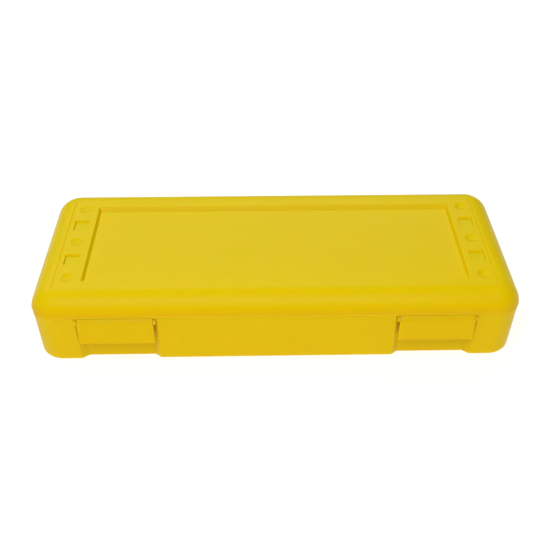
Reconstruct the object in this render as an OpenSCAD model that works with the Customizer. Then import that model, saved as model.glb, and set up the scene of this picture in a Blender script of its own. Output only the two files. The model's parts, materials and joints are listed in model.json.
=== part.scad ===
// Long moulded school pencil case: a tray and a lid joined by two pinned hinges at the back and closed by
// two swinging snap latches at the front. Millimetres, +Z up, -Y is the front with the latches, and the
// origin is the middle of the underside.

/* [Case] */
// Overall length of the lid, left to right
case_length = 337; // [320:1:345]
// Overall width of the lid, front to back
case_width = 134; // [124:1:150]
// Overall height with the lid closed
case_height = 54.5; // [53:0.5:60]
// Height of the lid's lower edge, where the case parts
parting_height = 40.5; // [39:0.5:42]
// Radius of the lid's corners seen from above
corner_radius = 18; // [17.5:0.5:22]
// Radius of the roll from the lid's top down to its edge
roll_radius = 16; // [15.5:0.5:16]
// Thickness of the lid's wall
lid_wall = 2; // [1.8:0.1:2.2]
// Gap between the tray's rim and the closed lid
parting_gap = 0.3; // [0.2:0.05:0.4]

/* [Tray] */
// How far the tray's rim band stands inside the lid's edge
rim_inset = 0.3; // [0.2:0.1:0.4]
// How far the tray's wall stands inside the lid's edge, just under the rim band
wall_inset_top = 0.5; // [0.5:0.1:0.8]
// How far the tray's wall stands inside the lid's edge, at the bottom
wall_inset_bottom = 0.8; // [0.8:0.1:1.6]
// Height of the rim band below the rim
rim_band_height = 5; // [4:0.1:6]
// Radius between the tray's wall and its underside
bottom_fillet = 3.5; // [2:0.5:4]
// Thickness of the tray's wall
tray_wall = 2.6; // [2.4:0.1:2.8]
// Thickness of the tray's floor at the foot
floor_thickness = 2.4; // [2:0.1:3]
// Depth of the shallow recess inside the foot
foot_recess = 0.8; // [0.4:0.1:1]
// Height of the locating tongue above the rim
tongue_height = 2.4; // [1.5:0.1:2.4]

/* [Lid top] */
// Half length of the sunken panel at its upper edge
panel_half_length = 133.9; // [120:0.1:134]
// Half width of the sunken panel at its upper edge
panel_half_width = 43.3; // [36:0.1:45]
// Depth of the sunken panel
panel_depth = 2.8; // [1:0.1:3]
// Width of the panel's sloped wall at its two ends
panel_slope_end = 1.4; // [1:0.1:4]
// Width of the panel's sloped wall at front and back
panel_slope_side = 2.4; // [0.5:0.1:4]
// Distance of the row of recesses from the case's middle
recess_row_x = 144; // [141:0.5:145]
// Distance from one recess to the next in a row
recess_pitch = 20; // [18:0.5:20]
// Length and width of a square recess
recess_square = [10.6, 11.4];
// Depth of a square recess
recess_square_depth = 1.5; // [0.6:0.1:1.6]
// Radius of a round dimple at its rim
dimple_radius = 4.5; // [3:0.1:5]
// Depth of a round dimple
dimple_depth = 1.3; // [0.5:0.1:1.4]
// Half length of the fine groove outside each row
groove_half_length = 51; // [40:1:51]
// Width of the fine groove
groove_width = 1.1; // [0.4:0.1:1.2]

/* [Latches] */
// Distance of each latch's middle from the case's middle
latch_x = 109.4; // [100:0.2:111]
// Width of a latch
latch_width = 51.4; // [40:0.2:54]
// Radius of the latch's barrel
barrel_radius = 2.7; // [2.6:0.05:2.8]
// Height of the latch from its pivot to its lower edge
latch_drop = 17.8; // [17:0.2:20]
// Width of the lugs that carry the latch's pin
lug_width = 1.6; // [1.4:0.1:2.4]
// Outer radius of the lugs about the pin
lug_radius = 1.9; // [1.8:0.1:2.5]
// Width of the hook and of the catch that it snaps under
catch_width = 30; // [20:1:36]
// Depth of the pocket behind each latch, from the tray's wall
pocket_depth = 5.2; // [4.6:0.1:5.4]
// How much wider the pocket is at the tray's wall than at its back, on each side
pocket_splay = 4.5; // [3:0.1:5]

/* [Hinges] */
// Distance of each hinge's middle from the case's middle
hinge_x = 109; // [60:1:120]
// Width of a whole hinge
hinge_width = 36; // [24:1:40]
// Width of each of the tray's knuckles
tray_knuckle_width = 9; // [6:0.5:10]
// Outer radius of the knuckles
knuckle_radius = 2.9; // [2.7:0.05:3]

/* [Pins] */
// Radius of the latch pins
latch_pin_radius = 1; // [0.8:0.1:1.2]
// Radius of the hinge pins
hinge_pin_radius = 1.25; // [1:0.05:1.4]
// Radial clearance between a pin and the piece that turns on it
running_clearance = 0.06; // [0.03:0.01:0.1]

/* [Hidden] */
$fn = 64;

yellow = [0.89, 0.75, 0.1];
steel = [0.72, 0.73, 0.75];
left = -1;
right = 1;
cut = 1;
clearance = 0.3;

// Centres of the corner radii, shared by the lid and the tray
core_x = case_length / 2 - corner_radius;
core_y = case_width / 2 - corner_radius;

// The roll is an arc that reaches the full corner radius at the lid's lower edge
roll_z = case_height - roll_radius;
roll_reach = sqrt(roll_radius ^ 2 - (parting_height - roll_z) ^ 2);
roll_d = corner_radius - roll_reach;
inner_roll_radius = roll_radius - lid_wall;

// Tray profile, as distances from the corner centres
rim_z = parting_height - parting_gap;
band_z = rim_z - rim_band_height;
band_chamfer = 0.2;
rim_d = corner_radius - rim_inset;
wall_top_d = corner_radius - wall_inset_top;
wall_bottom_d = corner_radius - wall_inset_bottom;
inner_top_d = rim_d - tray_wall - 0.1;
inner_bottom_d = wall_bottom_d - tray_wall;
inner_fillet = 2.4;
tongue_d = 15.3;
tongue_thickness = 1.4;
foot_d = 7;

// Latch pivot and the places of its parts, measured from the pivot
pivot_y = -case_width / 2 - 0.6;
pivot_z = parting_height - barrel_radius - 0.05;
latch_front = 2.2;
latch_lower = 2.4;
latch_flare = 2.8;
latch_thickness = 1.7;
crest_angle = 77;
crest_y = barrel_radius * cos(crest_angle);
crest_z = barrel_radius * sin(crest_angle);
crest_slope = 38;
crease_z = -6.8;
flare_z = -latch_drop + 3.4;
return_thickness = 1.2;
hook_reach = 1.8;
hook_z = -latch_drop + 4.8;
catch_gap = 0.25;
catch_z = pivot_z + hook_z + 0.6;
lug_gap = 0.2;

// Pockets: the back leans with the tray's wall
draft = atan((wall_inset_bottom - wall_inset_top) / band_z);
pocket_half = latch_width / 2 + lug_gap + lug_width + clearance;
pocket_wall = tray_wall - 0.4;
pocket_back_y = -case_width / 2 + wall_inset_bottom + pocket_depth - 0.2;
pocket_top = 38;
flange_y = pivot_y + barrel_radius + clearance;
relief_bottom = pivot_z - barrel_radius - 0.7;

// Hinge axis at the back, on the parting line
axis_y = case_width / 2 + 0.1;
axis_z = parting_height - parting_gap / 2;
lid_knuckle_width = hinge_width - 2 * tray_knuckle_width - 2 * clearance;

// Half of a cross-section, repeated on both sides of a core
module both_sides(core, low, high) {
    for (side = [0, 1]) mirror([side, 0]) translate([core, 0]) children();
    translate([-core, low]) square([2 * core, high - low]);
}

// A half profile swept round the case: straight along the sides and turned round the four corners
module swept_block(low, high) {
    rotate([90, 0, 90])
        linear_extrude(2 * core_x, center = true)
            both_sides(core_y, low, high) children();
    rotate([90, 0, 0])
        linear_extrude(2 * core_y, center = true)
            both_sides(core_x, low, high) children();
    for (corner = [0:3])
        translate([
            core_x * (corner == 0 || corner == 3 ? 1 : -1),
            core_y * (corner < 2 ? 1 : -1),
            0
        ])
            rotate([0, 0, 90 * corner])
                rotate_extrude(angle = 90) children();
}

// A half profile swept round the case as a closed band, without the middle
module swept_band() {
    for (side = [0, 1]) {
        mirror([0, side, 0])
            translate([0, core_y, 0])
                rotate([90, 0, 90])
                    linear_extrude(2 * core_x, center = true) children();
        mirror([side, 0, 0])
            translate([core_x, 0, 0])
                rotate([90, 0, 0])
                    linear_extrude(2 * core_y, center = true) children();
    }
    for (corner = [0:3])
        translate([
            core_x * (corner == 0 || corner == 3 ? 1 : -1),
            core_y * (corner < 2 ? 1 : -1),
            0
        ])
            rotate([0, 0, 90 * corner])
                rotate_extrude(angle = 90) children();
}

// A side-view outline in Y and Z, given thickness along X
module slab(x, width) {
    translate([x, 0, 0])
        rotate([90, 0, 90])
            linear_extrude(width, center = true) children();
}

// ---- Lid ----

module roll_profile(radius, low) {
    square_top = roll_z + radius;
    translate([0, low]) square([roll_d, square_top - low]);
    intersection() {
        translate([roll_d, roll_z]) circle(r = radius, $fn = 128);
        translate([roll_d, low]) square([radius, radius + roll_z - low]);
    }
}

// Four sloped sides: one wedge-sided bar along the case, cut by one across it
module panel_space() {
    low = case_height - panel_depth;
    intersection() {
        rotate([90, 0, 0])
            linear_extrude(2 * case_width, center = true)
                panel_outline(panel_half_length, panel_slope_end, low);
        rotate([90, 0, 90])
            linear_extrude(2 * case_length, center = true)
                panel_outline(panel_half_width, panel_slope_side, low);
    }
}

module panel_outline(half, slope, low) {
    rise = panel_depth + cut;
    reach = half + slope * cut / panel_depth;
    polygon([[-half + slope, low], [half - slope, low], [reach, low + rise], [-reach, low + rise]]);
}

// The underside of the sunken panel, so that the panel keeps the lid's thickness
module panel_floor() {
    half_x = panel_half_length - panel_slope_end + lid_wall;
    half_y = panel_half_width - panel_slope_side + lid_wall;
    low = case_height - panel_depth - lid_wall;
    translate([-half_x, -half_y, low]) cube([2 * half_x, 2 * half_y, panel_depth + 0.1]);
}

// A row of three dimples with two square recesses between them
module recess_row() {
    sphere_radius = (dimple_radius ^ 2 + dimple_depth ^ 2) / (2 * dimple_depth);
    for (place = [-2, 0, 2])
        translate([0, place * recess_pitch, case_height - dimple_depth + sphere_radius])
            sphere(r = sphere_radius, $fn = 96);
    for (place = [-1, 1])
        translate([
            -recess_square[0] / 2,
            place * recess_pitch - recess_square[1] / 2,
            case_height - recess_square_depth
        ])
            cube([recess_square[0], recess_square[1], recess_square_depth + cut]);
}

// Fine V-shaped groove where the flat top meets the roll at each end
module end_groove() {
    half = groove_width / 2;
    depth = 0.6 * groove_width;
    translate([core_x + roll_d, 0, case_height])
        rotate([90, 0, 0])
            linear_extrude(2 * groove_half_length, center = true)
                polygon([[-2 * half, half], [0, -depth], [2 * half, half]]);
}

// Two lugs under the lid's edge that carry one latch's pin, and the thick wall behind them
module latch_mount(side) {
    lug_offset = latch_width / 2 + lug_gap + lug_width / 2;
    for (end = [left, right])
        slab(side * latch_x + end * lug_offset, lug_width) {
            translate([pivot_y, pivot_z]) circle(r = lug_radius);
            translate([-case_width / 2 + 0.1, pivot_z])
                square([lug_radius, parting_height - pivot_z + 0.5]);
        }
    slab(side * latch_x, 2 * pocket_half - 1)
        translate([-case_width / 2 + 1.8, parting_height]) square([2.6, 4.5]);
}

module lid_knuckle(side) {
    slab(side * hinge_x, lid_knuckle_width)
        translate([axis_y, axis_z]) circle(r = knuckle_radius);
}

module tray_knuckles(side, radius, width) {
    offset_x = (hinge_width - tray_knuckle_width) / 2;
    for (end = [left, right])
        slab(side * hinge_x + end * offset_x, width)
            translate([axis_y, axis_z]) circle(r = radius);
}

module pin_bore(x, width, y, z, radius) {
    slab(x, width) translate([y, z]) circle(r = radius);
}

module lid() {
    color(yellow)
        difference() {
            union() {
                difference() {
                    swept_block(parting_height, case_height)
                        roll_profile(roll_radius, parting_height);
                    difference() {
                        swept_block(parting_height - cut, case_height - lid_wall)
                            roll_profile(inner_roll_radius, parting_height - cut);
                        panel_floor();
                    }
                    panel_space();
                    for (side = [0, 1]) mirror([side, 0, 0]) {
                        translate([recess_row_x, 0, 0]) recess_row();
                        end_groove();
                    }
                    for (side = [left, right])
                        tray_knuckles(side, knuckle_radius + clearance, tray_knuckle_width + 2 * clearance);
                }
                for (side = [left, right]) {
                    latch_mount(side);
                    lid_knuckle(side);
                }
            }
            for (side = [left, right]) {
                pin_bore(side * latch_x, 2 * pocket_half, pivot_y, pivot_z, latch_pin_radius);
                pin_bore(side * hinge_x, hinge_width, axis_y, axis_z, hinge_pin_radius + running_clearance);
            }
        }
}

// ---- Tray ----

module tray_profile() {
    polygon([
        [0, 0],
        [wall_bottom_d - bottom_fillet, 0],
        [wall_bottom_d, bottom_fillet],
        [wall_top_d, band_z],
        [rim_d, band_z + band_chamfer],
        [rim_d, rim_z],
        [0, rim_z]
    ]);
    translate([wall_bottom_d - bottom_fillet, bottom_fillet]) circle(r = bottom_fillet);
}

module tray_inside_profile() {
    start = inner_bottom_d - inner_fillet;
    fillet_z = floor_thickness + inner_fillet;
    polygon([
        [0, floor_thickness],
        [start, floor_thickness],
        [inner_bottom_d, fillet_z],
        [inner_top_d, rim_z + cut],
        [0, rim_z + cut]
    ]);
    translate([start, fillet_z]) circle(r = inner_fillet);
}

module tongue_profile() {
    inner = tongue_d - tongue_thickness;
    top = rim_z + tongue_height;
    chamfer = 0.6;
    polygon([
        [inner, rim_z - 3],
        [inner, top],
        [tongue_d - chamfer, top],
        [tongue_d, top - chamfer],
        [tongue_d, rim_z - 0.5],
        [inner_top_d + 0.4, rim_z - 5]
    ]);
}

// Splayed pocket behind a latch, open to the front and to the underside; grow thickens it into a wall
module pocket(side, grow, low, high) {
    back = pocket_depth + grow;
    mouth = pocket_half + grow * sqrt(1 + (pocket_splay / pocket_depth) ^ 2);
    translate([side * latch_x, pocket_back_y - pocket_depth, 0])
        rotate([draft, 0, 0])
            translate([0, 0, low])
                linear_extrude(high - low)
                    polygon([
                        [-mouth - pocket_splay, -pocket_depth],
                        [mouth + pocket_splay, -pocket_depth],
                        [mouth, 0],
                        [mouth - pocket_splay * back / pocket_depth, back],
                        [-mouth + pocket_splay * back / pocket_depth, back],
                        [-mouth, 0]
                    ]);
}

// Room in the rim for the barrel and the lugs
module barrel_relief(side) {
    low = relief_bottom;
    translate([side * latch_x - pocket_half, -case_width, low])
        cube([2 * pocket_half, case_width + flange_y, case_height]);
}

// Ledge in the pocket that the latch's hook snaps under
module catch(side) {
    tip = pivot_y + hook_reach + catch_gap;
    root = pocket_back_y + 0.6;
    slab(side * latch_x, catch_width)
        polygon([
            [root, catch_z],
            [tip, catch_z],
            [tip, catch_z + 1.2],
            [tip + 1.4, catch_z + 3],
            [root, catch_z + 4]
        ]);
}

module base() {
    tongue_gap = 4;
    color(yellow)
        difference() {
            union() {
                difference() {
                    union() {
                        swept_block(0, rim_z) tray_profile();
                        for (side = [left, right]) tray_knuckles(side, knuckle_radius, tray_knuckle_width);
                    }
                    difference() {
                        swept_block(floor_thickness, rim_z + cut) tray_inside_profile();
                        for (side = [left, right]) pocket(side, pocket_wall, -cut, rim_z + 2 * cut);
                    }
                    for (side = [left, right]) {
                        pocket(side, 0, -cut, pocket_top);
                        barrel_relief(side);
                    }
                    translate([0, 0, -cut])
                        swept_block(0, foot_recess + cut) square([foot_d, foot_recess + cut]);
                }
                for (side = [left, right]) catch(side);
                difference() {
                    swept_band() tongue_profile();
                    for (side = [left, right]) {
                        translate([side * latch_x - pocket_half - tongue_gap, -case_width, 0])
                            cube([2 * (pocket_half + tongue_gap), case_width, case_height]);
                        translate([side * hinge_x - hinge_width / 2 - tongue_gap, 0, 0])
                            cube([hinge_width + 2 * tongue_gap, case_width, case_height]);
                    }
                }
            }
            for (side = [left, right]) {
                pin_bore(side * hinge_x, hinge_width + cut, axis_y, axis_z, hinge_pin_radius);
                slab(side * hinge_x, lid_knuckle_width + 2 * clearance)
                    translate([axis_y, axis_z]) circle(r = knuckle_radius + clearance);
            }
        }
}

// ---- Latches ----

// The barrel, with its front cut flush with the plate and sloped from just under the lid's edge
module latch_barrel_outline() {
    reach = 2 * barrel_radius;
    intersection() {
        circle(r = barrel_radius);
        polygon([
            [-latch_front, -reach],
            [reach, -reach],
            [reach, crest_z + (reach - crest_y) * tan(crest_slope)],
            [-latch_front, crest_z - (crest_y + latch_front) * tan(crest_slope)]
        ]);
    }
}

module latch_plate_outline() {
    bottom = -latch_drop + latch_thickness / 2;
    polygon([
        [-latch_front, 0],
        [-latch_front, crease_z],
        [-latch_lower, flare_z],
        [-latch_flare, bottom],
        [-latch_flare + latch_thickness, bottom],
        [-latch_lower + latch_thickness, flare_z],
        [-latch_front + latch_thickness, crease_z],
        [-latch_front + latch_thickness, 0]
    ]);
    translate([-latch_flare + latch_thickness / 2, bottom]) circle(r = latch_thickness / 2);
}

module latch_return_outline() {
    polygon([
        [-1.5, -1],
        [0.6, -1],
        [0.6, -latch_drop + 6],
        [-1.6, -latch_drop + 1.2],
        [-2.2, -latch_drop + 1.2]
    ]);
}

module hook_outline() {
    polygon([[-1.2, hook_z + 0.6], [hook_reach, hook_z], [hook_reach, hook_z - 0.8], [-1.6, hook_z - 3]]);
}

module latch(side) {
    color(yellow)
        translate([0, pivot_y, pivot_z])
            difference() {
                union() {
                    slab(side * latch_x, latch_width) {
                        latch_barrel_outline();
                        latch_plate_outline();
                    }
                    for (end = [left, right])
                        slab(side * latch_x + end * (latch_width - return_thickness) / 2, return_thickness)
                            latch_return_outline();
                    slab(side * latch_x, catch_width) hook_outline();
                }
                pin_bore(side * latch_x, latch_width + cut, 0, 0, latch_pin_radius + running_clearance);
            }
}

module latch_left() {
    latch(left);
}

module latch_right() {
    latch(right);
}

// ---- Pins ----

module latch_pin(side) {
    length = latch_width + 2 * lug_gap + 2 * lug_width;
    color(steel)
        slab(side * latch_x, length) translate([pivot_y, pivot_z]) circle(r = latch_pin_radius);
}

module hinge_pin(side) {
    color(steel)
        slab(side * hinge_x, hinge_width) translate([axis_y, axis_z]) circle(r = hinge_pin_radius);
}

module latch_pin_left() {
    latch_pin(left);
}

module latch_pin_right() {
    latch_pin(right);
}

module hinge_pin_left() {
    hinge_pin(left);
}

module hinge_pin_right() {
    hinge_pin(right);
}

base();
lid();
latch_left();
latch_right();
latch_pin_left();
latch_pin_right();
hinge_pin_left();
hinge_pin_right();
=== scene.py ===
"""A long moulded pencil case: tray, hinged lid and two snap latches, with the pins that join them.

Every size is in millimetres in the case's own frame: X along the case, -Y the front, +Z up. A mesh is turned
into metres when it is made. Sizes that the CAD model holds are repeated here by name or read from the frame.
"""

import json
import math

import bmesh
import bpy
import numpy as np
from mathutils import Matrix, Vector


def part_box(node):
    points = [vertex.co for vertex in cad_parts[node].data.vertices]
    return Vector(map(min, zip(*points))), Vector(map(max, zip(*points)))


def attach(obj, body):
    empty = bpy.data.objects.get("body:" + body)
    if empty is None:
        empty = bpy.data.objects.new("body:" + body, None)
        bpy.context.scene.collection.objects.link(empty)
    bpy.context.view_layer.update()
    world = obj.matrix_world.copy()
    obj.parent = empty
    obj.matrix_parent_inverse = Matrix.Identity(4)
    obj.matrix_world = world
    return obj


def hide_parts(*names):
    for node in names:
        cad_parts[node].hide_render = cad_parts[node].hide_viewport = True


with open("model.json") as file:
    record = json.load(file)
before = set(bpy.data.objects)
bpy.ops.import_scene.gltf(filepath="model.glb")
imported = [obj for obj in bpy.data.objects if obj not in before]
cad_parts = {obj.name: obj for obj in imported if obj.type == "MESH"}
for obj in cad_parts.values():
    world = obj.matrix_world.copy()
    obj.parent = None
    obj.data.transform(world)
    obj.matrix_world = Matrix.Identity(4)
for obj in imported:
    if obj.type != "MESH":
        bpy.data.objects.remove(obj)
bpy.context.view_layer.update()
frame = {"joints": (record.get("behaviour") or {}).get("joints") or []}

MM = 0.001
LEFT, RIGHT = -1, 1


def box_mm(node):
    """The lowest and highest corner of a CAD node, in millimetres."""
    low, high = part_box(node)
    return [v / MM for v in low], [v / MM for v in high]


def joint_place_mm(name):
    """Where a hinge's axis passes, in millimetres."""
    joint = next(j for j in frame["joints"] if j["name"] == name)
    return [v / MM for v in joint["pos_m"]]


# ---- Sizes ----

lid_low, lid_high = box_mm("lid")
latch_low, latch_high = box_mm("latch_right")

case_length = lid_high[0] - lid_low[0]
case_width = 134.0
case_height = lid_high[2]
parting_z = 40.5
corner_radius = 18.0
core_x = case_length / 2 - corner_radius
core_y = case_width / 2 - corner_radius

roll_radius = 16.0
lid_wall = 2.0
roll_z = case_height - roll_radius
roll_d = corner_radius - math.sqrt(roll_radius**2 - (parting_z - roll_z) ** 2)

panel_half = (133.9, 43.3)
panel_slope = (1.4, 2.4)
panel_blend = (0.5, 0.4)
panel_depth = 2.8

recess_x = 144.0
recess_pitch = 20.0
recess_half = (5.3, 5.7)
recess_depth = 1.5
recess_slope = 0.5
recess_blend = 0.25
dimple_radius = 4.5
dimple_depth = 1.3
groove_depth = 0.6
groove_half = 0.6

rim_z = 40.2
band_z = 35.2
band_chamfer = 0.2
rim_d = corner_radius - 0.3
wall_top_d = corner_radius - 0.5
wall_bottom_d = corner_radius - 0.8
bottom_fillet = 3.5
foot_recess = 0.8
foot_d = 7.0
floor_z = 2.4
inner_top_d = 15.0
inner_bottom_d = 14.6
inner_fillet = 2.4
tongue_d = 15.3
tongue_inner_d = 13.9
tongue_top = 42.6

pivot = joint_place_mm("latch_right_hinge")
latch_x = pivot[0]
latch_half = (latch_high[0] - latch_low[0]) / 2
barrel_radius = 2.7
latch_drop = pivot[2] - latch_low[2]
lug_width = 1.6
lug_radius = 1.9
lug_gap = 0.2
lug_neck_y = 0.1 - case_width / 2
catch_half = 15.0
hook_reach = 1.8
hook_height = 4.8
hook_z = hook_height - latch_drop

pocket_half = latch_half + lug_gap + lug_width + 0.3
pocket_splay = 4.5
pocket_depth = 5.2
pocket_back_d = wall_bottom_d - pocket_depth + 0.2
pocket_lean = (wall_top_d - wall_bottom_d) / band_z
pocket_wall = 2.2
pocket_top = 38.0
flange_d = -(pivot[1] + barrel_radius + 0.3) - core_y
relief_z = pivot[2] - barrel_radius - 0.7

hinge_axis = joint_place_mm("lid_hinge")
hinge_x = 109.0
hinge_width = 36.0
tray_knuckle_width = 9.0
knuckle_radius = 2.9
knuckle_gap = 0.3
lid_knuckle_width = hinge_width - 2 * tray_knuckle_width - 2 * knuckle_gap
latch_pin_radius = 1.0
hinge_pin_radius = 1.25
pin_clearance = 0.06


# ---- Mesh tools ----

def rounded_rise(u, blend):
    """0 before u = 0 and u after it, with the corner rounded over a stretch of length blend."""
    half = blend / 2
    inside = (np.clip(u, -half, half) + half) ** 2 / (2 * blend)
    return np.where(u > half, u, inside)


def ramp(u, width, blend):
    """Rises from 0 to 1 while u goes from 0 to width, with both corners rounded."""
    return (rounded_rise(u, blend) - rounded_rise(u - width, blend)) / width


def mix(a, b, share):
    return a + (b - a) * share


def mirrored_lines(limit, *spans):
    """Sorted places from -limit to limit, from spans of (start, stop, step) on the positive side."""
    values = {0.0, round(limit, 4)}
    for start, stop, step in spans:
        count = max(1, round((stop - start) / step))
        values.update(round(start + (stop - start) * i / count, 4) for i in range(count + 1))
    return np.array(sorted(values | {-v for v in values}))


def new_object(name, verts, faces):
    """A mesh object from points in millimetres, with points that meet joined and faces turned outwards."""
    mesh = bpy.data.meshes.new(name)
    mesh.from_pydata((np.asarray(verts, float) * MM).tolist(), [], faces)
    obj = bpy.data.objects.new(name, mesh)
    bpy.context.collection.objects.link(obj)
    bm = bmesh.new()
    bm.from_mesh(mesh)
    bmesh.ops.remove_doubles(bm, verts=bm.verts, dist=0.001 * MM)
    bmesh.ops.recalc_face_normals(bm, faces=bm.faces)
    bm.to_mesh(mesh)
    bm.free()
    return obj


def combine(target, tool, operation):
    """Applies one boolean step to target and removes the tool."""
    step = target.modifiers.new("combine", "BOOLEAN")
    step.object = tool
    step.operation = operation
    step.solver = "MANIFOLD"
    graph = bpy.context.evaluated_depsgraph_get()
    made = bpy.data.meshes.new_from_object(target.evaluated_get(graph))
    target.modifiers.remove(step)
    old = target.data
    target.data = made
    made.name = target.name
    bpy.data.meshes.remove(old)
    bpy.data.objects.remove(tool)


def finish_shading(obj, sharp_degrees=35):
    """Smooth shading, with edges sharper than the given angle kept crisp."""
    bm = bmesh.new()
    bm.from_mesh(obj.data)
    bmesh.ops.dissolve_degenerate(bm, dist=0.0005 * MM, edges=bm.edges)
    for face in bm.faces:
        face.smooth = True
    limit = math.radians(sharp_degrees)
    for edge in bm.edges:
        edge.smooth = len(edge.link_faces) == 2 and edge.calc_face_angle(0) < limit
    bm.to_mesh(obj.data)
    bm.free()


class Stations:
    """Places round the core rectangle, counter-clockwise from the right side, that a wall is swept along."""

    def __init__(self, xs, ys, corner_steps):
        rows = [(core_x, y, 1, 0) for y in ys]
        rows += self.corner(1, 1, 0, corner_steps)
        rows += [(x, core_y, 0, 1) for x in xs[::-1]]
        rows += self.corner(-1, 1, 90, corner_steps)
        rows += [(-core_x, y, -1, 0) for y in ys[::-1]]
        rows += self.corner(-1, -1, 180, corner_steps)
        rows += [(x, -core_y, 0, -1) for x in xs]
        rows += self.corner(1, -1, 270, corner_steps)
        self.x, self.y, self.nx, self.ny = np.array(rows, float).T
        self.front = self.ny == -1
        self.back = self.ny == 1
        self.end = np.abs(self.nx)

    @staticmethod
    def corner(side_x, side_y, start, steps):
        turns = [math.radians(start + 90 * i / steps) for i in range(1, steps)]
        return [(side_x * core_x, side_y * core_y, math.cos(a), math.sin(a)) for a in turns]

    def ring(self, d, z):
        """Points at distance d outside the core and height z, which may differ from place to place."""
        d = np.broadcast_to(d, self.x.shape)
        z = np.broadcast_to(z, self.x.shape)
        return np.stack([self.x + self.nx * d, self.y + self.ny * d, z], axis=1)


def swept_shell(name, stations, rings, xs, ys, first_cap, last_cap):
    """Joins rings into a closed shell. Each cap gives the height inside an end ring."""
    verts = np.concatenate(rings)
    count = len(stations.x)
    faces = []
    for k in range(len(rings) - 1):
        for i in range(count):
            j = (i + 1) % count
            faces.append((k * count + i, k * count + j, (k + 1) * count + j, (k + 1) * count + i))
    grid_x, grid_y = np.meshgrid(xs, ys, indexing="ij")
    for cap in (first_cap, last_cap):
        start = len(verts)
        points = np.stack([grid_x, grid_y, cap(grid_x, grid_y)], axis=2).reshape(-1, 3)
        verts = np.concatenate([verts, points])
        rows = len(ys)
        for i in range(len(xs) - 1):
            for j in range(rows - 1):
                a = start + i * rows + j
                faces.append((a, a + 1, a + rows + 1, a + rows))
    return new_object(name, verts, faces)


def level(height):
    """A flat cap."""
    return lambda x, y: np.full(x.shape, height)


def rounded(first, corner, last, steps=4):
    """Points on a smooth bend from first to last that is drawn towards a corner."""
    shares = [i / steps for i in range(steps + 1)]
    weights = [((1 - s) ** 2, 2 * s * (1 - s), s**2) for s in shares]
    return [tuple(a * p + b * q + c * r for p, q, r in zip(first, corner, last)) for a, b, c in weights]


def arc(centre, radius, start, stop, steps):
    """Points (d, z) on an arc, where an angle of 0 points outwards and 90 points up."""
    turns = [math.radians(start + (stop - start) * i / steps) for i in range(steps + 1)]
    return [(centre[0] + radius * math.cos(a), centre[1] + radius * math.sin(a)) for a in turns]


def inset(outline, amount):
    """The outline moved inwards along its corner normals. The outline runs counter-clockwise."""
    points = np.asarray(outline, float)
    along = np.roll(points, -1, axis=0) - points
    along /= np.linalg.norm(along, axis=1)[:, None]
    normal = np.stack([-along[:, 1], along[:, 0]], axis=1)
    corner = normal + np.roll(normal, 1, axis=0)
    length = np.linalg.norm(corner, axis=1)[:, None]
    return points + corner * 2 * amount / np.maximum(length, 0.5) ** 2


def rounded_ends(low, high, radius, steps=3):
    """Stations along X as (place, inset), with the two ends rounded off."""
    turns = [math.pi / 2 * i / steps for i in range(steps + 1)]
    start = [(low + radius * (1 - math.sin(a)), radius * (1 - math.cos(a))) for a in reversed(turns)]
    stop = [(high - radius * (1 - math.sin(a)), radius * (1 - math.cos(a))) for a in turns]
    return start, stop


def loft(name, sections):
    """A closed solid through outlines of equal point count. A section is (x, outline of (y, z))."""
    count = len(sections[0][1])
    verts = [(x, y, z) for x, outline in sections for y, z in outline]
    faces = []
    for k in range(len(sections) - 1):
        for i in range(count):
            j = (i + 1) % count
            faces.append((k * count + i, k * count + j, (k + 1) * count + j, (k + 1) * count + i))
    last = (len(sections) - 1) * count
    faces.append(tuple(range(count)))
    faces.append(tuple(last + i for i in reversed(range(count))))
    return new_object(name, verts, faces)


def prism(name, outline, low, high, edge=0.25):
    """An outline in (y, z) extruded along X, with rounded end edges."""
    start, stop = rounded_ends(low, high, edge)
    return loft(name, [(x, inset(outline, amount)) for x, amount in start + stop])


def rod(name, low, high, centre, radius, edge=0.0):
    """A round bar along X, with its end edges rounded."""
    steps = 48
    turns = [2 * math.pi * i / steps for i in range(steps)]
    outline = [(centre[0] + radius * math.cos(a), centre[1] + radius * math.sin(a)) for a in turns]
    if edge:
        return prism(name, outline, low, high, edge)
    return loft(name, [(low, outline), (high, outline)])


# ---- Lid ----

def lid_top(x, y):
    """Height of the lid's flat top, with the sunken panel, the square recesses and the dimples."""
    rise_x = ramp(panel_half[0] - np.abs(x), panel_slope[0], panel_blend[0])
    rise_y = ramp(panel_half[1] - np.abs(y), panel_slope[1], panel_blend[1])
    z = case_height - panel_depth * np.minimum(rise_x, rise_y)
    across = np.abs(x) - recess_x
    for place in (-1, 1):
        edge = np.minimum(recess_half[0] - np.abs(across), recess_half[1] - np.abs(y - place * recess_pitch))
        z = z - recess_depth * ramp(edge, recess_slope, recess_blend)
    for place in (-2, 0, 2):
        away = np.hypot(across, y - place * recess_pitch) / dimple_radius
        bowl = np.clip(1 - away**2, 0, 1)
        z = z - dimple_depth * bowl * np.clip(bowl * 4, 0, 1)
    return z


def lid_ceiling(x, y):
    """Height of the lid's inside, which steps down under the sunken panel."""
    reach_x = panel_half[0] - panel_slope[0] + lid_wall
    reach_y = panel_half[1] - panel_slope[1] + lid_wall
    width, blend = 1.0, 0.6
    step = np.minimum(ramp(reach_x - np.abs(x), width, blend), ramp(reach_y - np.abs(y), width, blend))
    return case_height - lid_wall - panel_depth * step


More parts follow.
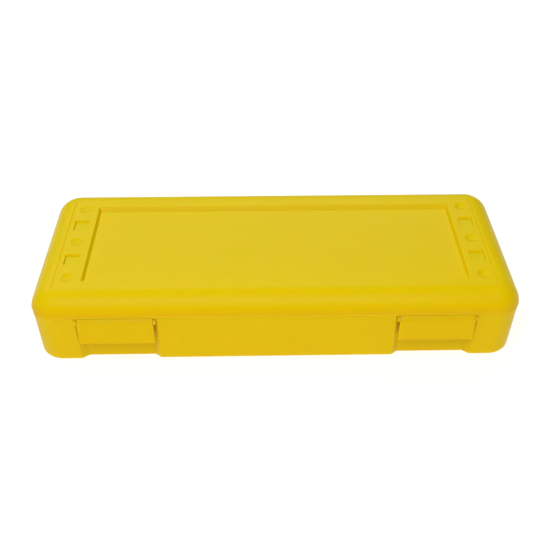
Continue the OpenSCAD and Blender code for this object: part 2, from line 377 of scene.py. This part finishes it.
def lid_shell():
    """The lid's moulding, with its mesh lines close together where the top bends."""
    xs = mirrored_lines(
        core_x,
        (0, 128, 8), (129.5, 134.5, 0.25), (136.2, 137.6, 0.7), (138.3, 139.5, 0.1),
        (139.5, 148.5, 0.5), (148.5, 149.7, 0.1), (149.7, core_x, 0.4),
    )
    ys = mirrored_lines(
        core_y,
        (0, 5, 0.6), (5, 14, 3), (14, 15.2, 0.15), (15.2, 24.8, 3), (24.8, 26, 0.15), (26, 35, 3),
        (35, 41.5, 0.6), (41.5, 46, 0.2), (46, core_y, 1),
    )
    stations = Stations(xs, ys, 16)
    groove_d = roll_d + 0.1
    rings = []
    across_groove = (-0.7, -0.55, -0.3, -0.1, 0.1, 0.3, 0.55, 0.7)
    for d in [0, 0.8, *(groove_d + v for v in across_groove)]:
        z = roll_z + math.sqrt(roll_radius**2 - max(0, d - roll_d) ** 2)
        share = min(1, max(0, 1.2 - 1.2 * abs(d - groove_d) / groove_half))
        fade = np.clip((stations.end - 0.8) / 0.2, 0, 1)
        rings.append(stations.ring(d, z - groove_depth * share * fade))
    lip_angle = math.degrees(math.asin((parting_z - roll_z) / roll_radius))
    outer = arc((roll_d, roll_z), roll_radius, 87, lip_angle + 1.3, 28)
    inner_radius = roll_radius - lid_wall
    inner_angle = math.degrees(math.asin((parting_z - roll_z) / inner_radius))
    inner = arc((roll_d, roll_z), inner_radius, inner_angle + 1.3, 90, 24)
    outer_lip, inner_lip = outer[-1][0], inner[0][0]
    lip = [
        (outer_lip - 0.03, parting_z + 0.12),
        (outer_lip - 0.12, parting_z + 0.03),
        (outer_lip - 0.3, parting_z),
        (inner_lip + 0.3, parting_z),
        (inner_lip + 0.1, parting_z + 0.04),
        (inner_lip + 0.02, parting_z + 0.14),
    ]
    rings += [stations.ring(d, z) for d, z in outer + lip + inner + [(0, case_height - lid_wall)]]
    return swept_shell("lid_moulding", stations, rings, xs, ys, lid_top, lid_ceiling)


def lug_outline():
    """Side view of a lug: round about the latch's pin, with a neck up into the lid's edge."""
    y, z = pivot[1], pivot[2]
    back = lug_neck_y + lug_radius
    top = parting_z + 0.5
    round_part = [(y + d, z + h) for d, h in arc((0, 0), lug_radius, -265, -10, 30)]
    return [*round_part, (back, z), (back, top), (lug_neck_y, top), (lug_neck_y, z + lug_radius - 0.3)]


def pad_outline():
    """Side view of the thicker part inside the lid's edge that holds a latch's lugs."""
    front, back, top, bevel = -65.2, -62.6, 45.0, 0.5
    return [(front, parting_z), (back, parting_z), (back, top - bevel), (back - bevel, top), (front, top)]


def make_lid():
    lid = lid_shell()
    y, z = hinge_axis[1], hinge_axis[2]
    knuckle_offset = (hinge_width - tray_knuckle_width) / 2
    lug_offset = latch_half + lug_gap + lug_width / 2
    for side in (LEFT, RIGHT):
        for end in (LEFT, RIGHT):
            middle = side * hinge_x + end * knuckle_offset
            half = tray_knuckle_width / 2 + knuckle_gap
            relief = rod("relief", middle - half, middle + half, (y, z), knuckle_radius + knuckle_gap)
            combine(lid, relief, "DIFFERENCE")
            middle = side * latch_x + end * lug_offset
            lug = prism("lug", lug_outline(), middle - lug_width / 2, middle + lug_width / 2)
            combine(lid, lug, "UNION")
        middle = side * latch_x
        half = pocket_half - 0.5
        combine(lid, prism("pad", pad_outline(), middle - half, middle + half, 0.5), "UNION")
        middle = side * hinge_x
        half = lid_knuckle_width / 2
        combine(lid, rod("knuckle", middle - half, middle + half, (y, z), knuckle_radius, 0.3), "UNION")
        half = hinge_width / 2
        bore = rod("bore", middle - half, middle + half, (y, z), hinge_pin_radius + pin_clearance)
        combine(lid, bore, "DIFFERENCE")
        middle = side * latch_x
        bore = rod("bore", middle - pocket_half, middle + pocket_half, pivot[1:], latch_pin_radius)
        combine(lid, bore, "DIFFERENCE")
    finish_shading(lid)
    return lid


# ---- Tray ----

def wall_d(z):
    """Outside of the tray's wall at height z, with the rim band above."""
    lean = wall_bottom_d + (wall_top_d - wall_bottom_d) * (z - bottom_fillet) / (band_z - bottom_fillet)
    step = ramp(np.asarray(z - band_z, float), band_chamfer, 0.2)
    return float(lean + (rim_d - lean) * step)


def inside_d(z):
    """Inside of the tray's wall at height z."""
    low = floor_z + inner_fillet
    return inner_bottom_d + (inner_top_d - inner_bottom_d) * (z - low) / (rim_z - low)


def tray_shell():
    """The tray's moulding, with its mesh lines close together at the pockets and the ends of the tongue."""
    mouth_low, mouth_high = latch_x - pocket_half, latch_x + pocket_half
    back_low, back_high = mouth_low + pocket_splay, mouth_high - pocket_splay
    tongue_gap = pocket_half + 4
    hinge_gap = hinge_width / 2 + 4
    gap_ends = (-tongue_gap, -hinge_gap, hinge_gap, tongue_gap)
    tongue_ends = [(latch_x + v - 0.4, latch_x + v + 0.4, 0.2) for v in gap_ends]
    xs = mirrored_lines(
        core_x,
        *tongue_ends,
        (0, 72, 8), (mouth_low - 1, back_low + 1, 0.25), (back_low + 4, back_high - 4, 6),
        (back_high - 1, mouth_high + 1, 0.25), (146, core_x, 4),
    )
    ys = mirrored_lines(core_y, (0, core_y, 7))
    stations = Stations(xs, ys, 14)
    across = np.abs(np.abs(stations.x) - latch_x)
    front = stations.front.astype(float)
    splayed = front * ramp(pocket_half - across, pocket_splay, 1.0)
    square = front * ramp(pocket_half - across, 0.3, 0.2)
    slope = pocket_splay / pocket_depth
    inside = (inner_top_d + inner_bottom_d) / 2
    inner_start = pocket_half + pocket_wall * math.hypot(1, slope)
    inner_start -= slope * (pocket_back_d + pocket_depth - inside)
    bump = front * ramp(inner_start - across, slope * (inside - pocket_back_d + pocket_wall), 1.6)
    at_latch = front * (across < tongue_gap)
    at_hinge = stations.back * (np.abs(np.abs(stations.x) - hinge_x) < hinge_gap)
    tongue = 1 - np.maximum(at_latch, at_hinge)

    foot = [
        (0, foot_recess), (foot_d - 0.3, foot_recess), (foot_d - 0.1, foot_recess - 0.1),
        (foot_d + 0.1, 0.1), (foot_d + 0.3, 0),
    ]
    rings = [stations.ring(d, z) for d, z in foot]
    edge = 0.5
    wall_foot = arc((wall_bottom_d - bottom_fillet, bottom_fillet), bottom_fillet, -90, 0, 9)
    pocket_foot = arc((pocket_back_d - edge, edge), edge, -90, 0, 9)
    for (d, z), (pocket_d, pocket_z) in zip(wall_foot, pocket_foot):
        rings.append(stations.ring(mix(d, pocket_d, splayed), mix(z, pocket_z, splayed)))

    def outer_ring(z, cut_back, flange):
        d = wall_d(z)
        back = pocket_back_d + pocket_lean * z
        depth = mix(d, back, splayed) if cut_back else np.full(stations.x.shape, d)
        if flange:
            depth = np.minimum(depth, mix(d, flange_d, square))
        rings.append(stations.ring(depth, z))

    for z in (8, 16, 24, 31, relief_z - 0.3, relief_z - 0.05):
        outer_ring(z, True, False)
    band = [band_z + v for v in (-0.15, 0, 0.15, 0.35, 0.5, 0.65)]
    for z in (relief_z + 0.05, *band, pocket_top - 0.3, pocket_top - 0.05):
        outer_ring(z, True, True)
    for z in (pocket_top + 0.02, pocket_top + 0.3, rim_z - 0.4):
        outer_ring(z, False, True)

    rim_outer = np.minimum(rim_d, mix(rim_d, flange_d, square))
    rim_inner = mix(inner_top_d, pocket_back_d - pocket_wall + pocket_lean * rim_z, bump)
    rim_edge = 0.35
    for turn in (30, 60, 90):
        a = math.radians(turn)
        edge_d = rim_outer - rim_edge * (1 - math.cos(a))
        rings.append(stations.ring(edge_d, rim_z - rim_edge * (1 - math.sin(a))))
    tongue_points = [
        (tongue_d + 0.25, rim_z), (tongue_d + 0.05, rim_z + 0.06), (tongue_d, rim_z + 0.3),
        (tongue_d, tongue_top - 0.5), (tongue_d - 0.5, tongue_top), (tongue_inner_d + 0.4, tongue_top),
        (tongue_inner_d + 0.1, tongue_top - 0.1), (tongue_inner_d, tongue_top - 0.4),
    ]
    for i, (d, z) in enumerate(tongue_points):
        plain = mix(rim_outer - 0.4, rim_inner + 0.3, (i + 0.5) / len(tongue_points))
        rings.append(stations.ring(mix(plain, d, tongue), mix(rim_z, z, tongue)))
    for drop, outwards in ((0.05, 0.1), (0.3, 0)):
        rings.append(stations.ring(mix(rim_inner + outwards, tongue_inner_d, tongue), rim_z - drop))
    for z, inwards in ((rim_z - 2.4, 1), (rim_z - 2.9, 0.9), (rim_z - 4.4, 0.1), (rim_z - 5, 0)):
        inner = mix(inside_d(z), pocket_back_d - pocket_wall + pocket_lean * z, bump)
        rings.append(stations.ring(mix(inner, tongue_inner_d, inwards * tongue), z))
    for z in (28, 20, 12):
        inner = mix(inside_d(z), pocket_back_d - pocket_wall + pocket_lean * z, bump)
        rings.append(stations.ring(inner, z))
    floor_shift = (inner_bottom_d - (pocket_back_d - pocket_wall)) * bump
    for d, z in arc((inner_bottom_d - inner_fillet, floor_z + inner_fillet), inner_fillet, 0, -90, 7):
        rings.append(stations.ring(d - floor_shift, z))
    rings.append(stations.ring(0, floor_z))
    return swept_shell("tray_moulding", stations, rings, xs, ys, level(foot_recess), level(floor_z))


def catch_outline():
    """Side view of the ledge that a latch snaps under."""
    tip = pivot[1] + hook_reach + 0.25
    root = -core_y - pocket_back_d + 0.6
    z = pivot[2] + hook_z + 0.6
    nose = [(tip + 0.1, z + 1.3), (tip, z + 1.1), (tip, z + 0.1), (tip + 0.1, z)]
    return [(root, z), (root, z + 4), (tip + 1.4, z + 3), *nose]


def make_tray():
    tray = tray_shell()
    y, z = hinge_axis[1], hinge_axis[2]
    offset = (hinge_width - tray_knuckle_width) / 2
    for side in (LEFT, RIGHT):
        for end in (LEFT, RIGHT):
            middle = side * hinge_x + end * offset
            half = tray_knuckle_width / 2
            combine(tray, rod("knuckle", middle - half, middle + half, (y, z), knuckle_radius, 0.3), "UNION")
        middle = side * latch_x
        combine(tray, prism("catch", catch_outline(), middle - catch_half, middle + catch_half, 0.2), "UNION")
        half = lid_knuckle_width / 2 + knuckle_gap
        middle = side * hinge_x
        relief = rod("relief", middle - half, middle + half, (y, z), knuckle_radius + knuckle_gap)
        combine(tray, relief, "DIFFERENCE")
        half = hinge_width / 2 + 1
        combine(tray, rod("bore", middle - half, middle + half, (y, z), hinge_pin_radius), "DIFFERENCE")
    finish_shading(tray)
    return tray


# ---- Latches ----

def latch_section(hook, flange):
    """Side view of a latch about its pivot. hook and flange are 1 where the hook and the side flange are."""
    front, lower, flare, thickness = 2.2, 2.4, 2.8, 1.7
    crease, bend = -6.8, 3.4 - latch_drop
    bottom = -latch_drop + thickness / 2
    back_angle = -math.degrees(math.acos((thickness - front) / barrel_radius))
    crest_angle, crest_slope = 77, math.radians(38)
    crest = arc((0, 0), barrel_radius, crest_angle, crest_angle, 1)[0]
    down = (-math.cos(crest_slope), -math.sin(crest_slope))
    shoulder = (-front, crest[1] - (crest[0] + front) * math.tan(crest_slope))
    outline = arc((0, 0), barrel_radius, back_angle, crest_angle - 4, 34)
    outline += rounded(outline.pop(), crest, (crest[0] + 0.25 * down[0], crest[1] + 0.25 * down[1]))
    outline += rounded((shoulder[0] - down[0], shoulder[1] - down[1]), shoulder, (-front, shoulder[1] - 1), 8)
    outline += [(-front, -3), (-front, crease + 0.4), (-front - 0.1, crease), (-front - 0.15, crease - 0.4)]
    outline += [(mix(-front - 0.15, -lower, s), mix(crease - 0.4, bend, s)) for s in (0.5, 0.93)]
    outline += [(mix(-lower, -flare, s), mix(bend, bottom, s)) for s in (0.12, 0.6)]
    outline += arc((-flare + thickness / 2, bottom), thickness / 2, 180, 360, 12)
    flange_foot, flange_back = bend - 1.6, 0.6
    under_hook, hook_top = hook_z - 0.8, hook_z + 0.6
    at_hook = (hook_z - 2, under_hook, hook_z, hook_top, hook_z + 1.2)
    for z in (flange_foot, *at_hook, -9.0, crease, -5.0, -3.4, -2.9):
        plate = thickness - np.interp(z, (bottom, bend, crease), (flare, lower, front))
        flange_z = (flange_foot, 6 - latch_drop, -3.4, -2.9)
        side = np.interp(z, flange_z, (plate, flange_back, flange_back, plate))
        nose_z = (hook_z - 3, under_hook, hook_z, hook_top)
        nose = np.interp(z, nose_z, (plate, hook_reach, hook_reach, plate))
        outline.append((max(plate, mix(plate, side, flange), mix(plate, nose, hook)), z))
    return outline


def make_latch(name, side):
    start, stop = rounded_ends(-latch_half, latch_half, 0.6, 5)
    inner = latch_half - 1.2
    places = [(x, amount, 0.0, 1.0) for x, amount in start]
    for x, hook, flange in (
        (-inner, 0, 1), (-inner + 0.25, 0, 0), (-catch_half - 0.2, 0, 0), (-catch_half, 1, 0),
        (catch_half, 1, 0), (catch_half + 0.2, 0, 0), (inner - 0.25, 0, 0), (inner, 0, 1),
    ):
        places.append((x, 0.0, hook, flange))
    places += [(x, amount, 0.0, 1.0) for x, amount in stop]
    sections = []
    for x, amount, hook, flange in places:
        outline = inset(latch_section(hook, flange), amount)
        sections.append((side * latch_x + x, outline + np.array(pivot[1:])))
    latch = loft(name, sections)
    middle, half = side * latch_x, latch_half + 1
    bore = rod("bore", middle - half, middle + half, pivot[1:], latch_pin_radius + pin_clearance)
    combine(latch, bore, "DIFFERENCE")
    finish_shading(latch, 40)
    return latch


# ---- Materials ----

def shader(name):
    """A new material's nodes, links and principled shader."""
    material = bpy.data.materials.new(name)
    material.use_nodes = True
    nodes, links = material.node_tree.nodes, material.node_tree.links
    return material, nodes, links, nodes["Principled BSDF"]


def noise(nodes, links, coords, scale, detail=2.0, roughness=0.5):
    texture = nodes.new("ShaderNodeTexNoise")
    texture.inputs["Scale"].default_value = scale
    texture.inputs["Detail"].default_value = detail
    texture.inputs["Roughness"].default_value = roughness
    links.new(coords.outputs["Object"], texture.inputs["Vector"])
    return texture


def spread(nodes, links, source, low, high, to_low, to_high):
    """Maps a value from one range to another."""
    node = nodes.new("ShaderNodeMapRange")
    node.inputs["From Min"].default_value = low
    node.inputs["From Max"].default_value = high
    node.inputs["To Min"].default_value = to_low
    node.inputs["To Max"].default_value = to_high
    links.new(source, node.inputs["Value"])
    return node.outputs["Result"]


def blend_colour(nodes, links, share, first, second):
    """Mixes two colours, or a linked colour and a colour, by a linked share."""
    node = nodes.new("ShaderNodeMix")
    node.data_type = "RGBA"
    links.new(share, node.inputs["Factor"])
    for socket, value in ((node.inputs[6], first), (node.inputs[7], second)):
        if isinstance(value, tuple):
            socket.default_value = (*value, 1)
        else:
            links.new(value, socket)
    return node.outputs[2]


def moulded_plastic(name, colour, deep, worn, rough, gloss, grain, lower=None):
    """Polypropylene with a fine sparked texture, slightly uneven colour, and paler rubbed edges.

    rough is the roughness, gloss the strength of reflections and grain that of the texture. lower is a list
    of (top, bottom, colour), heights in mm, for painted shade that deepens the colour downwards to the edge.
    """
    material, nodes, links, bsdf = shader(name)
    coords = nodes.new("ShaderNodeTexCoord")
    cloudy = noise(nodes, links, coords, 14, 3)
    flow = noise(nodes, links, coords, 60, 4, 0.6)
    fine = noise(nodes, links, coords, 2600, 2)
    coarse = noise(nodes, links, coords, 700, 3)
    patches = spread(nodes, links, cloudy.outputs["Fac"], 0.35, 0.65, 0, 1)
    tone = blend_colour(nodes, links, patches, colour, deep)
    # Painted shade: the colour darkens downwards through each band of heights.
    if lower:
        split = nodes.new("ShaderNodeSeparateXYZ")
        links.new(coords.outputs["Object"], split.inputs["Vector"])
        for top, bottom, shade_colour in lower:
            share = spread(nodes, links, split.outputs["Z"], bottom * MM, top * MM, 1, 0)
            tone = blend_colour(nodes, links, share, tone, shade_colour)
    geometry = nodes.new("ShaderNodeNewGeometry")
    edge = spread(nodes, links, geometry.outputs["Pointiness"], 0.515, 0.56, 0, 0.5)
    tone = blend_colour(nodes, links, edge, tone, worn)
    links.new(tone, bsdf.inputs["Base Color"])
    satin = spread(nodes, links, flow.outputs["Fac"], 0.3, 0.7, rough - 0.04, rough + 0.05)
    links.new(satin, bsdf.inputs["Roughness"])
    height = nodes.new("ShaderNodeMath")
    height.operation = "ADD"
    links.new(fine.outputs["Fac"], height.inputs[0])
    links.new(coarse.outputs["Fac"], height.inputs[1])
    bump = nodes.new("ShaderNodeBump")
    bump.inputs["Strength"].default_value = grain
    bump.inputs["Distance"].default_value = 0.05 * MM
    links.new(height.outputs[0], bump.inputs["Height"])
    links.new(bump.outputs["Normal"], bsdf.inputs["Normal"])
    bsdf.inputs["Subsurface Weight"].default_value = 0.3
    bsdf.inputs["Subsurface Radius"].default_value = (2.4, 1.2, 0.2)
    bsdf.inputs["Subsurface Scale"].default_value = MM
    bsdf.inputs["IOR"].default_value = 1.49
    bsdf.inputs["Specular IOR Level"].default_value = gloss
    return material


def drawn_steel(name):
    """Steel wire with fine marks along its length and duller ends."""
    material, nodes, links, bsdf = shader(name)
    coords = nodes.new("ShaderNodeTexCoord")
    stretch = nodes.new("ShaderNodeMapping")
    stretch.inputs["Scale"].default_value = (0.02, 1, 1)
    links.new(coords.outputs["Object"], stretch.inputs["Vector"])
    marks = nodes.new("ShaderNodeTexNoise")
    marks.inputs["Scale"].default_value = 4000
    marks.inputs["Detail"].default_value = 3
    links.new(stretch.outputs["Vector"], marks.inputs["Vector"])
    tone = blend_colour(nodes, links, marks.outputs["Fac"], (0.5, 0.5, 0.51), (0.66, 0.66, 0.67))
    links.new(tone, bsdf.inputs["Base Color"])
    links.new(spread(nodes, links, marks.outputs["Fac"], 0.3, 0.7, 0.25, 0.42), bsdf.inputs["Roughness"])
    bump = nodes.new("ShaderNodeBump")
    bump.inputs["Strength"].default_value = 0.2
    bump.inputs["Distance"].default_value = 0.01 * MM
    links.new(marks.outputs["Fac"], bump.inputs["Height"])
    links.new(bump.outputs["Normal"], bsdf.inputs["Normal"])
    bsdf.inputs["Metallic"].default_value = 1.0
    return material


def pale_floor(name):
    """A smooth near-white surface, very slightly mottled."""
    material, nodes, links, bsdf = shader(name)
    coords = nodes.new("ShaderNodeTexCoord")
    cloudy = noise(nodes, links, coords, 3, 2)
    tone = blend_colour(nodes, links, cloudy.outputs["Fac"], (0.44, 0.44, 0.44), (0.46, 0.46, 0.455))
    links.new(tone, bsdf.inputs["Base Color"])
    bsdf.inputs["Roughness"].default_value = 0.6
    bsdf.inputs["Specular IOR Level"].default_value = 0.2
    bsdf.inputs["Emission Color"].default_value = (1, 1, 1, 1)
    bsdf.inputs["Emission Strength"].default_value = 0.72
    return material


# ---- Assembly ----

def place(obj, body, node, slot, material):
    """Gives a piece its material, hangs it on the body it rides on and hides the CAD node it stands for."""
    obj.data.materials.clear()
    obj.data.materials.append(material)
    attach(obj, body)
    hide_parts(node)


def make_case():
    worn = (0.95, 0.72, 0.02)
    # Painted shade on the lid's roll, darker towards the lip where the roll turns away from the top light.
    painted_roll_shade = [(54, 49, (0.86, 0.607, 0.0)), (49, 41, (0.79, 0.478, 0.0))]
    lid_yellow = moulded_plastic(
        "yellow_lid", (0.885, 0.635, 0.0), (0.875, 0.625, 0.0), worn, rough=0.34, gloss=0.075, grain=0.2,
        lower=painted_roll_shade,
    )
    # Painted shade: the tray's and the latches' yellow is a darker, more orange copy of the lid's, standing
    # in for dimmer light on the front walls.
    tray_yellow = moulded_plastic(
        "yellow_tray", (0.82, 0.562, 0.0), (0.81, 0.55, 0.0), worn, rough=0.36, gloss=0.055, grain=0.2,
    )
    latch_yellow = moulded_plastic(
        "yellow_latch", (0.82, 0.545, 0.0), (0.81, 0.535, 0.0), worn, rough=0.34, gloss=0.05, grain=0.15,
    )
    steel = drawn_steel("drawn_steel")
    place(make_tray(), "base", "base", "yellow_plastic", tray_yellow)
    place(make_lid(), "lid", "lid", "yellow_plastic", lid_yellow)
    for side, word in ((LEFT, "left"), (RIGHT, "right")):
        latch = make_latch(f"latch_{word}_moulding", side)
        place(latch, f"latch_{word}", f"latch_{word}", "latch_plastic", latch_yellow)
        half = latch_half + lug_gap + lug_width
        low, high = side * latch_x - half, side * latch_x + half
        pin = rod(f"latch_wire_{word}", low, high, pivot[1:], latch_pin_radius, 0.2)
        finish_shading(pin)
        place(pin, "lid", f"latch_pin_{word}", "pin_steel", steel)
        low, high = side * hinge_x - hinge_width / 2, side * hinge_x + hinge_width / 2
        pin = rod(f"hinge_wire_{word}", low, high, hinge_axis[1:], hinge_pin_radius, 0.25)
        finish_shading(pin)
        place(pin, "base", f"hinge_pin_{word}", "pin_steel", steel)


# ---- Stage ----

def make_floor():
    """A square of floor, 12 m wide."""
    half = 6.0
    mesh = bpy.data.meshes.new("floor")
    corners = [(-half, -half, 0), (half, -half, 0), (half, half, 0), (-half, half, 0)]
    mesh.from_pydata(corners, [], [(0, 1, 2, 3)])
    floor = bpy.data.objects.new("floor", mesh)
    bpy.context.collection.objects.link(floor)
    mesh.materials.append(pale_floor("pale_floor"))


def area_light(name, place_m, size, power, colour):
    """A rectangular lamp that faces the case. Sizes are in metres and power in watts."""
    light = bpy.data.lights.new(name, "AREA")
    light.shape = "RECTANGLE"
    light.size, light.size_y = size
    light.energy = power
    light.color = colour
    obj = bpy.data.objects.new(name, light)
    bpy.context.collection.objects.link(obj)
    obj.location = place_m
    obj.rotation_euler = (-Vector(place_m)).to_track_quat("-Z", "Y").to_euler()


def make_lights():
    world = bpy.data.worlds.new("studio")
    world.use_nodes = True
    sky = world.node_tree.nodes["Background"]
    sky.inputs["Color"].default_value = (1, 1, 1, 1)
    sky.inputs["Strength"].default_value = 0.15
    bpy.context.scene.world = world
    area_light("front_softbox", (-0.15, -0.72, 1.25), (1.2, 0.9), 14.8, (1.0, 0.97, 0.91))
    area_light("back_softbox", (-0.25, 0.95, 0.85), (1.7, 0.4), 6.2, (0.82, 1.0, 0.97))


def make_camera():
    """Looks down at the front from slightly left of the middle."""
    target = Vector((0.14, 0.74, 20)) * MM
    distance = 584.3 * MM
    azimuth, elevation, roll = math.radians(-1.34), math.radians(40.63), math.radians(-0.26)
    back = Vector((
        math.sin(azimuth) * math.cos(elevation),
        -math.cos(azimuth) * math.cos(elevation),
        math.sin(elevation),
    ))
    level = Vector((math.cos(azimuth), math.sin(azimuth), 0))
    up = back.cross(level)
    right = level * math.cos(roll) - up * math.sin(roll)
    over = back.cross(right)
    camera = bpy.data.cameras.new("camera")
    camera.sensor_width = 36
    camera.lens = 50.35
    camera.clip_start = 0.01
    obj = bpy.data.objects.new("camera", camera)
    bpy.context.collection.objects.link(obj)
    obj.matrix_world = Matrix((right, over, back)).transposed().to_4x4()
    obj.location = target + back * distance
    bpy.context.scene.camera = obj


make_camera()
make_lights()
make_floor()
make_case()
bpy.context.scene.view_settings.view_transform = "Standard"
